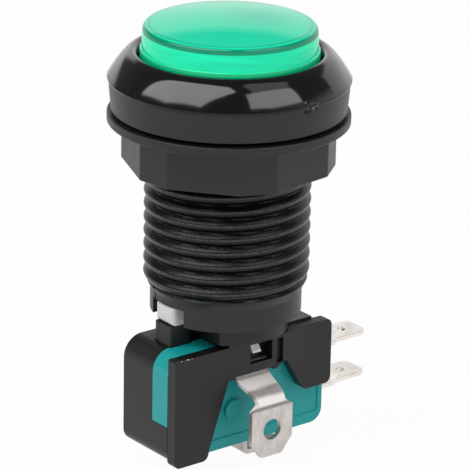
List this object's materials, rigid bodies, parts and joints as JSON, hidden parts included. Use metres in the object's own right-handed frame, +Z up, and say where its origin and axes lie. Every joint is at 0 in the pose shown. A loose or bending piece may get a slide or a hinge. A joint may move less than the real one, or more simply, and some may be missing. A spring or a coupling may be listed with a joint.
{
  "type": "arcade push button",
  "caption": "Illuminated push button with a mint cap, black flared bezel, threaded barrel, clamp nut, twist-in lamp holder and side-by-side snap-action switch",
  "frame": {"origin": "on the button's axis, at the underside of the bezel, where the panel's top face lies", "axes": "+Z up along the button's axis towards the cap, +X along the switch towards its side tabs, -Y towards the teal cover"},
  "size_m": [0.0414, 0.0338, 0.0653],
  "materials": {
    "black_plastic": "smooth moulded black plastic",
    "switch_black": "fine matt black plastic",
    "mint_plastic": "glossy mint green plastic",
    "white_plastic": "smooth white plastic",
    "teal_plastic": "teal moulded plastic",
    "lamp_plastic": "white plastic",
    "clear_plastic": "clear moulded resin",
    "plated_metal": "tin-plated brass sheet",
    "contact_bronze": "spring bronze sheet",
    "contact_metal": "silver contact",
    "spring_steel": "spring wire"
  },
  "bodies": {
    "barrel": {"button_body": "black_plastic", "return_spring": "spring_steel"},
    "nut": {"clamp_nut": "black_plastic"},
    "plunger_group": {"plunger": "white_plastic", "lens": "mint_plastic", "diffuser": "white_plastic"},
    "lamp_module": {"lamp_holder": "black_plastic", "lamp_terminal_front": "plated_metal", "lamp_terminal_back": "plated_metal", "lamp_base": "lamp_plastic", "lamp_led": "clear_plastic", "lamp_lead_front": "plated_metal", "lamp_lead_back": "plated_metal", "switch_case": "switch_black", "switch_cover": "teal_plastic", "common_terminal": "plated_metal", "nc_terminal": "plated_metal", "no_terminal": "plated_metal", "nc_contact": "contact_metal", "no_contact": "contact_metal", "switch_spring": "contact_bronze"},
    "switch_plunger": {"switch_button": "switch_black"},
    "contact_lever": {"switch_lever": "contact_bronze", "moving_contact": "contact_metal"}
  },
  "joints": [
    {"name": "nut_run", "type": "slide", "parent": "barrel", "child": "nut", "axis": [0, 0, -1], "range_m": [-0.0005, 0.0155]},
    {"name": "plunger_press", "type": "slide", "parent": "barrel", "child": "plunger_group", "axis": [0, 0, -1], "range_m": [0, 0.0022], "stiffness_N_per_m": 500, "springref_m": -0.003, "deforming": ["return_spring"]},
    {"name": "holder_twist", "type": "hinge", "parent": "barrel", "child": "lamp_module", "pos_m": [0, 0, -0.0294], "axis": [0, 0, 1], "range_deg": [0, 20]},
    {"name": "switch_press", "type": "slide", "parent": "lamp_module", "child": "switch_plunger", "axis": [0, 0, -1], "range_m": [0, 0.0022]},
    {"name": "lever_tip", "type": "hinge", "parent": "lamp_module", "child": "contact_lever", "pos_m": [0.0032, 0, -0.0411], "axis": [0, -1, 0], "range_deg": [0, 10.3], "deforming": ["switch_spring"]}
  ],
  "couplings": [
    {"joint": "switch_press", "follows": "plunger_press", "ratio": 1},
    {"joint": "lever_tip", "follows": "plunger_press", "rad_per_m": 80.5}
  ]
}
